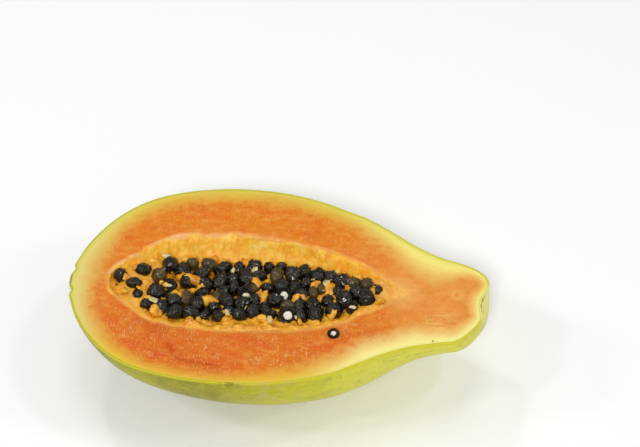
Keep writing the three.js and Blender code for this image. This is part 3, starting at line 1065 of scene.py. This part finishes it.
def bed_height(x, section, y):
    """Height of the pulp at y from the middle line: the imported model's sloping top, raised at
    the near wall until it lies just under the mouth, and raised at both tips."""
    rise = np.maximum(CUT_HEIGHT - PULP_BELOW_MOUTH - section.top(section.near), 0)
    strip = np.exp(-np.maximum(y - section.near, 0) / PULP_STRIP)
    tips = BLOSSOM_TIP_RISE * (1 - smooth(x, 28, 40)) + STEM_TIP_RISE * smooth(x, 118, 128)
    height = section.top(np.maximum(y, section.near)) + rise * strip + tips
    return np.minimum(height, CUT_HEIGHT - 0.3)


def make_pulp(material):
    """The pulp under the seeds as a closed body: in each section a lumpy top and a bottom that
    dips just into the wall. It laps over the mouth's near edge, and at both ends it runs out to
    a point."""
    stations = 300
    x = np.linspace(BED_START - PULP_END, BED_END + PULP_END, stations + 1)[:, None]
    section = BedSection(x)
    back = np.linspace(1, 0, PULP_UNDER_COLUMNS + 2)[1:-1]
    across = np.concatenate([np.linspace(0, 1, PULP_COLUMNS), back])[None]
    start = -section.half_width - PULP_LAP
    y = start + (section.far + 0.4 - start) * across
    points = np.stack([x + 0 * y, middle_line(x) + y, 0 * y], -1)
    level = points * (1, 1, 0)
    outside = np.maximum(-section.half_width - y, 0)
    lumps = rough(level, 6.0, 41, 3) * 1.4 + np.abs(rough(level, 2.6, 47, 3)) * 0.7 - 0.35
    at_tips = np.maximum(1 - smooth(x, 26, 40), smooth(x, 116, 128))
    lumps = lumps * (0.30 + 0.70 * smooth(y - start, 1.0, 6.0)) * (1 - 0.55 * at_tips)
    lumps = lumps - 0.35 * outside
    under = np.arange(across.shape[1])[None] >= PULP_COLUMNS
    floor = np.minimum(section.floor(y), CUT_HEIGHT - 1.5) - 0.5
    ends = 1 - smooth(x, x[0], x[0] + 6) + smooth(x, x[-1] - 7, x[-1])
    top = np.minimum(bed_height(x, section, y) + lumps, CUT_HEIGHT + 0.5) - 3.0 * ends
    points[..., 2] = np.where(under, floor, np.maximum(top, floor + 0.1))
    for end in (0, -1):
        points[end] = points[end].mean(0)
    rows, width = points.shape[:2]
    rim = np.maximum(1 - smooth(y - start, 1.5, 4.5), 0.8 * at_tips)
    return make_piece("seed_pulp", points, ring_faces(rows, width), material,
                      {"rim": rim})


def blobs(places, seed, flatness, folds, lift, rows=14, columns=20):
    """Flattened lumps at places (x, y, half length), lifted over the pulp and each turned its
    own way, as points and faces: a ball whose reach follows noise, and the size of noise for
    its folds."""
    places = np.array(places)
    index = np.arange(len(places))
    each, own, faces = balls(len(places), rows, columns, 11.7)
    reach = 0.88 + 0.30 * noise(own, 1.0, seed) + folds * np.abs(noise(own, 0.55, seed + 1))
    shape = each * reach[..., None] * places[:, None, 2:3]
    shape *= (1.0, 0.66, flatness)
    angles = np.stack([lattice(index, index, index * 2, seed + 2) * 0.5,
                       lattice(index, index * 5, index, seed + 3) * 0.5,
                       lattice(index, index * 7, index, seed + 4) * math.pi], -1)
    shape = turned(shape, angles)
    x, y = places[:, 0], places[:, 1]
    base = np.stack([x, y, bed_height(x, BedSection(x), y - middle_line(x)) + lift], -1)
    return shape + base[:, None], faces


def make_lumps(material):
    """Lumps of pulp between the seeds: the named ones, and small ones thrown over the bed."""
    rng = np.random.default_rng(7)
    count = 80
    x = rng.uniform(BED_START + 3, BED_END - 5, count)
    section = BedSection(x)
    y = section.near + (section.far - section.near) * rng.uniform(0.03, 0.98, count)
    small = np.stack([x, middle_line(x) + y, rng.uniform(1.2, 2.8, count)], -1)
    small = small[nearest_gap(small, np.array(KERNELS)) > KERNEL_CLEARANCE]
    large, large_faces = blobs(PULP_LUMPS, 23, 0.62, 0.30, 1.5, 18, 26)
    more, more_faces = blobs(small, 29, 0.55, 0.40, 0.8)
    points = np.concatenate([large.reshape(-1, 3), more.reshape(-1, 3)])
    faces = np.concatenate([large_faces, more_faces + large.shape[0] * large.shape[1]])
    return make_piece("pulp_lumps", points, faces, material,
                      {"rim": np.zeros(len(points))})


def make_scraps(material):
    """Pale scraps of seed coat: small flattened flakes with folds."""
    points, faces = blobs(PALE_SCRAPS, 51, 0.30, 0.30, 3.2, 10, 16)
    tones = np.ones(points.shape[:2])
    return make_piece("seed_scraps", points, faces, material, {"tone": tones})


def make_threads(material):
    """Threads of the lining: thin bent tubes that run down the far wall from below the mouth
    to the seeds, pointed at both ends."""
    rng = np.random.default_rng(11)
    count = 60
    rows = 12
    columns = 6
    share = rng.uniform(0.10, 0.93, count)[:, None]
    t = np.linspace(0, 1, rows + 1)[None]
    start = rng.uniform(0.10, 0.45, count)[:, None]
    length = rng.uniform(0.18, 0.55, count)[:, None]
    drift = rng.uniform(-0.008, 0.008, count)[:, None]
    sway = rng.uniform(-0.003, 0.003, count)[:, None]
    path = hollow_points(share + drift * t + sway * np.sin(5 * t), start + length * t)
    path[..., 2] += wall_relief(path)
    step = np.gradient(path, axis=1)
    step /= np.linalg.norm(step, axis=-1, keepdims=True)
    side = np.cross(step, (0, 0, 1.0))
    side /= np.linalg.norm(side, axis=-1, keepdims=True)
    upward = np.cross(side, step)
    around = np.arange(columns) * 2 * math.pi / columns
    thick = rng.uniform(0.15, 0.36, count)[:, None] * np.sin(math.pi * t) ** 0.7
    path[..., 2] += 0.05
    tube = path[:, :, None] + thick[..., None, None] * (
        side[:, :, None] * np.cos(around)[:, None]
        + upward[:, :, None] * 0.6 * np.sin(around)[:, None])
    faces = copies(ring_faces(rows + 1, columns), count, (rows + 1) * columns)
    return make_piece("lining_threads", tube, faces, material)


flesh = make_flesh(flesh_material())
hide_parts("papaya_half")
make_skin(skin_material())
make_scar(scar_material())
seeds = with_stray(throw_seeds())
cut_seeds = nearest_seeds(seeds, KERNELS)
seed_piece = make_seeds(seed_material(), seeds, cut_seeds)
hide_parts("seed_mass")
pale_paint = pale_material()
make_kernels(pale_paint, seeds, cut_seeds)
make_scraps(pale_paint)
pulp_paint = pulp_material()
make_pulp(pulp_paint)
make_lumps(pulp_paint)
make_threads(lining_material())


# Floor, lights and camera

def make_floor():
    """A wide level square, nearly white."""
    h = FLOOR_HALF
    mesh = bpy.data.meshes.new("studio_floor")
    mesh.from_pydata([(-h, -h, 0), (h, -h, 0), (h, h, 0), (-h, h, 0)], [], [(0, 1, 2, 3)])
    paint = Paint("studio_floor")
    colour = paint.mix(paint.cloud(400.0, detail=1.0), srgb(253, 253, 254), srgb(255, 255, 255))
    mesh.materials.append(paint.finish(Base_Color=colour, Roughness=0.7))
    floor = bpy.data.objects.new("studio_floor", mesh)
    bpy.context.scene.collection.objects.link(floor)


def aim(thing, place, direction):
    """Puts a lamp or camera in the scene at a place, looking along a direction."""
    thing.location = place
    thing.rotation_mode = "QUATERNION"
    thing.rotation_quaternion = direction.to_track_quat("-Z", "Y")
    bpy.context.scene.collection.objects.link(thing)


def make_light():
    """An even white world, round soft lamps, and small ones for glints on the wet seeds."""
    world = bpy.data.worlds.new("studio")
    world.use_nodes = True
    background = next(n for n in world.node_tree.nodes if n.type == "BACKGROUND")
    background.inputs["Color"].default_value = (1.0, 1.0, 1.0, 1.0)
    background.inputs["Strength"].default_value = WORLD_STRENGTH
    bpy.context.scene.world = world
    for name, lamp in LAMPS.items():
        light = bpy.data.lights.new(name, "AREA")
        light.shape = "DISK"
        light.size = lamp["size"]
        light.energy = lamp["power"]
        aim(bpy.data.objects.new(name, light), lamp["place"],
            Vector(LAMP_TARGET) - Vector(lamp["place"]))
    bpy.context.scene.view_settings.view_transform = "Standard"


def make_camera():
    """A camera with the photograph's view: it looks at a point on the cut plane from its
    azimuth, elevation and distance."""
    azimuth = math.radians(CAMERA_AZIMUTH)
    elevation = math.radians(CAMERA_ELEVATION)
    back = Vector((math.sin(azimuth) * math.cos(elevation),
                   -math.cos(azimuth) * math.cos(elevation), math.sin(elevation)))
    lens = bpy.data.cameras.new("camera")
    lens.lens = CAMERA_LENS
    lens.sensor_width = 36.0
    camera = bpy.data.objects.new("camera", lens)
    aim(camera, (Vector(LOOK_AT) + back * CAMERA_DISTANCE) * MM, -back)
    bpy.context.scene.camera = camera


make_floor()
make_light()
make_camera()
